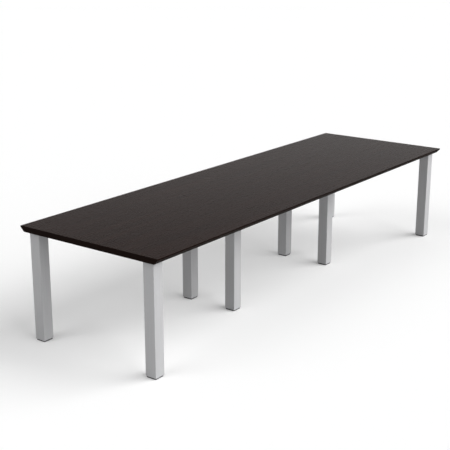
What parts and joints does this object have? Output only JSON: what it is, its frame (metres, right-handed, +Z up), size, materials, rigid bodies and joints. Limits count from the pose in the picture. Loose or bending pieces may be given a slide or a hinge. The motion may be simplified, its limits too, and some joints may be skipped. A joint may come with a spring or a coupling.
{
  "type": "conference table",
  "caption": "Long dark-wood conference table: jointed boards with under-bevelled long edges on square silver post legs, set back under the joints, with levelling feet.",
  "frame": {"origin": "on the floor, under the middle of the top", "axes": "+X along the table from its near end to its far end, +Y across it from front to rear, +Z up"},
  "size_m": [3.6, 1.1, 0.75],
  "materials": {
    "espresso_veneer": "dark espresso-stained veneer under a satin lacquer",
    "espresso_lipping": "dark espresso-stained solid lipping and edge band, matt sealer",
    "silver_anodised": "satin silver anodised extrusion",
    "black_plate": "black powder coat",
    "zinc_steel": "bright zinc plate",
    "black_plug": "moulded black nylon",
    "grey_nylon": "moulded dark grey nylon",
    "beech_dowel": "bare fluted beech"
  },
  "bodies": {
    "table": {"top_panel_near": "espresso_veneer", "edge_lipping_near_front": "espresso_lipping", "edge_lipping_near_rear": "espresso_lipping", "top_panel_middle": "espresso_veneer", "edge_lipping_middle_front": "espresso_lipping", "edge_lipping_middle_rear": "espresso_lipping", "top_panel_far": "espresso_veneer", "edge_lipping_far_front": "espresso_lipping", "edge_lipping_far_rear": "espresso_lipping", "end_band_near": "espresso_lipping", "panel_connector_near_front": "zinc_steel", "alignment_dowel_near_front": "beech_dowel", "panel_connector_near_rear": "zinc_steel", "alignment_dowel_near_rear": "beech_dowel", "end_band_far": "espresso_lipping", "panel_connector_far_front": "zinc_steel", "alignment_dowel_far_front": "beech_dowel", "panel_connector_far_rear": "zinc_steel", "alignment_dowel_far_rear": "beech_dowel", "mounting_plate_near_front": "black_plate", "leg_column_near_front": "silver_anodised", "foot_plug_near_front": "black_plug", "mounting_plate_near_rear": "black_plate", "leg_column_near_rear": "silver_anodised", "foot_plug_near_rear": "black_plug", "mounting_plate_far_front": "black_plate", "leg_column_far_front": "silver_anodised", "foot_plug_far_front": "black_plug", "mounting_plate_far_rear": "black_plate", "leg_column_far_rear": "silver_anodised", "foot_plug_far_rear": "black_plug", "mounting_plate_inner_near_front": "black_plate", "leg_column_inner_near_front": "silver_anodised", "foot_plug_inner_near_front": "black_plug", "mounting_plate_inner_near_rear": "black_plate", "leg_column_inner_near_rear": "silver_anodised", "foot_plug_inner_near_rear": "black_plug", "mounting_plate_inner_far_front": "black_plate", "leg_column_inner_far_front": "silver_anodised", "foot_plug_inner_far_front": "black_plug", "mounting_plate_inner_far_rear": "black_plate", "leg_column_inner_far_rear": "silver_anodised", "foot_plug_inner_far_rear": "black_plug"},
    "foot_near_front": {"glide_pad_near_front": "grey_nylon"},
    "stud_near_front": {"levelling_stud_near_front": "zinc_steel"},
    "foot_near_rear": {"glide_pad_near_rear": "grey_nylon"},
    "stud_near_rear": {"levelling_stud_near_rear": "zinc_steel"},
    "foot_far_front": {"glide_pad_far_front": "grey_nylon"},
    "stud_far_front": {"levelling_stud_far_front": "zinc_steel"},
    "foot_far_rear": {"glide_pad_far_rear": "grey_nylon"},
    "stud_far_rear": {"levelling_stud_far_rear": "zinc_steel"},
    "foot_inner_near_front": {"glide_pad_inner_near_front": "grey_nylon"},
    "stud_inner_near_front": {"levelling_stud_inner_near_front": "zinc_steel"},
    "foot_inner_near_rear": {"glide_pad_inner_near_rear": "grey_nylon"},
    "stud_inner_near_rear": {"levelling_stud_inner_near_rear": "zinc_steel"},
    "foot_inner_far_front": {"glide_pad_inner_far_front": "grey_nylon"},
    "stud_inner_far_front": {"levelling_stud_inner_far_front": "zinc_steel"},
    "foot_inner_far_rear": {"glide_pad_inner_far_rear": "grey_nylon"},
    "stud_inner_far_rear": {"levelling_stud_inner_far_rear": "zinc_steel"}
  },
  "joints": [
    {"name": "foot_height_near_front", "type": "slide", "parent": "table", "child": "foot_near_front", "axis": [0, 0, -1], "range_m": [0, 0.012]},
    {"name": "stud_turn_near_front", "type": "hinge", "parent": "foot_near_front", "child": "stud_near_front", "pos_m": [-1.736, -0.458, 0], "axis": [0, 0, -1], "range_deg": [0, 2880]},
    {"name": "foot_height_near_rear", "type": "slide", "parent": "table", "child": "foot_near_rear", "axis": [0, 0, -1], "range_m": [0, 0.012]},
    {"name": "stud_turn_near_rear", "type": "hinge", "parent": "foot_near_rear", "child": "stud_near_rear", "pos_m": [-1.736, 0.458, 0], "axis": [0, 0, -1], "range_deg": [0, 2880]},
    {"name": "foot_height_far_front", "type": "slide", "parent": "table", "child": "foot_far_front", "axis": [0, 0, -1], "range_m": [0, 0.012]},
    {"name": "stud_turn_far_front", "type": "hinge", "parent": "foot_far_front", "child": "stud_far_front", "pos_m": [1.736, -0.458, 0], "axis": [0, 0, -1], "range_deg": [0, 2880]},
    {"name": "foot_height_far_rear", "type": "slide", "parent": "table", "child": "foot_far_rear", "axis": [0, 0, -1], "range_m": [0, 0.012]},
    {"name": "stud_turn_far_rear", "type": "hinge", "parent": "foot_far_rear", "child": "stud_far_rear", "pos_m": [1.736, 0.458, 0], "axis": [0, 0, -1], "range_deg": [0, 2880]},
    {"name": "foot_height_inner_near_front", "type": "slide", "parent": "table", "child": "foot_inner_near_front", "axis": [0, 0, -1], "range_m": [0, 0.012]},
    {"name": "stud_turn_inner_near_front", "type": "hinge", "parent": "foot_inner_near_front", "child": "stud_inner_near_front", "pos_m": [-0.6, -0.185, 0], "axis": [0, 0, -1], "range_deg": [0, 2880]},
    {"name": "foot_height_inner_near_rear", "type": "slide", "parent": "table", "child": "foot_inner_near_rear", "axis": [0, 0, -1], "range_m": [0, 0.012]},
    {"name": "stud_turn_inner_near_rear", "type": "hinge", "parent": "foot_inner_near_rear", "child": "stud_inner_near_rear", "pos_m": [-0.6, 0.185, 0], "axis": [0, 0, -1], "range_deg": [0, 2880]},
    {"name": "foot_height_inner_far_front", "type": "slide", "parent": "table", "child": "foot_inner_far_front", "axis": [0, 0, -1], "range_m": [0, 0.012]},
    {"name": "stud_turn_inner_far_front", "type": "hinge", "parent": "foot_inner_far_front", "child": "stud_inner_far_front", "pos_m": [0.6, -0.185, 0], "axis": [0, 0, -1], "range_deg": [0, 2880]},
    {"name": "foot_height_inner_far_rear", "type": "slide", "parent": "table", "child": "foot_inner_far_rear", "axis": [0, 0, -1], "range_m": [0, 0.012]},
    {"name": "stud_turn_inner_far_rear", "type": "hinge", "parent": "foot_inner_far_rear", "child": "stud_inner_far_rear", "pos_m": [0.6, 0.185, 0], "axis": [0, 0, -1], "range_deg": [0, 2880]}
  ],
  "couplings": [
    {"joint": "stud_turn_near_front", "follows": "foot_height_near_front", "rad_per_m": 4188.8},
    {"joint": "stud_turn_near_rear", "follows": "foot_height_near_rear", "rad_per_m": 4188.8},
    {"joint": "stud_turn_far_front", "follows": "foot_height_far_front", "rad_per_m": 4188.8},
    {"joint": "stud_turn_far_rear", "follows": "foot_height_far_rear", "rad_per_m": 4188.8},
    {"joint": "stud_turn_inner_near_front", "follows": "foot_height_inner_near_front", "rad_per_m": 4188.8},
    {"joint": "stud_turn_inner_near_rear", "follows": "foot_height_inner_near_rear", "rad_per_m": 4188.8},
    {"joint": "stud_turn_inner_far_front", "follows": "foot_height_inner_far_front", "rad_per_m": 4188.8},
    {"joint": "stud_turn_inner_far_rear", "follows": "foot_height_inner_far_rear", "rad_per_m": 4188.8}
  ]
}
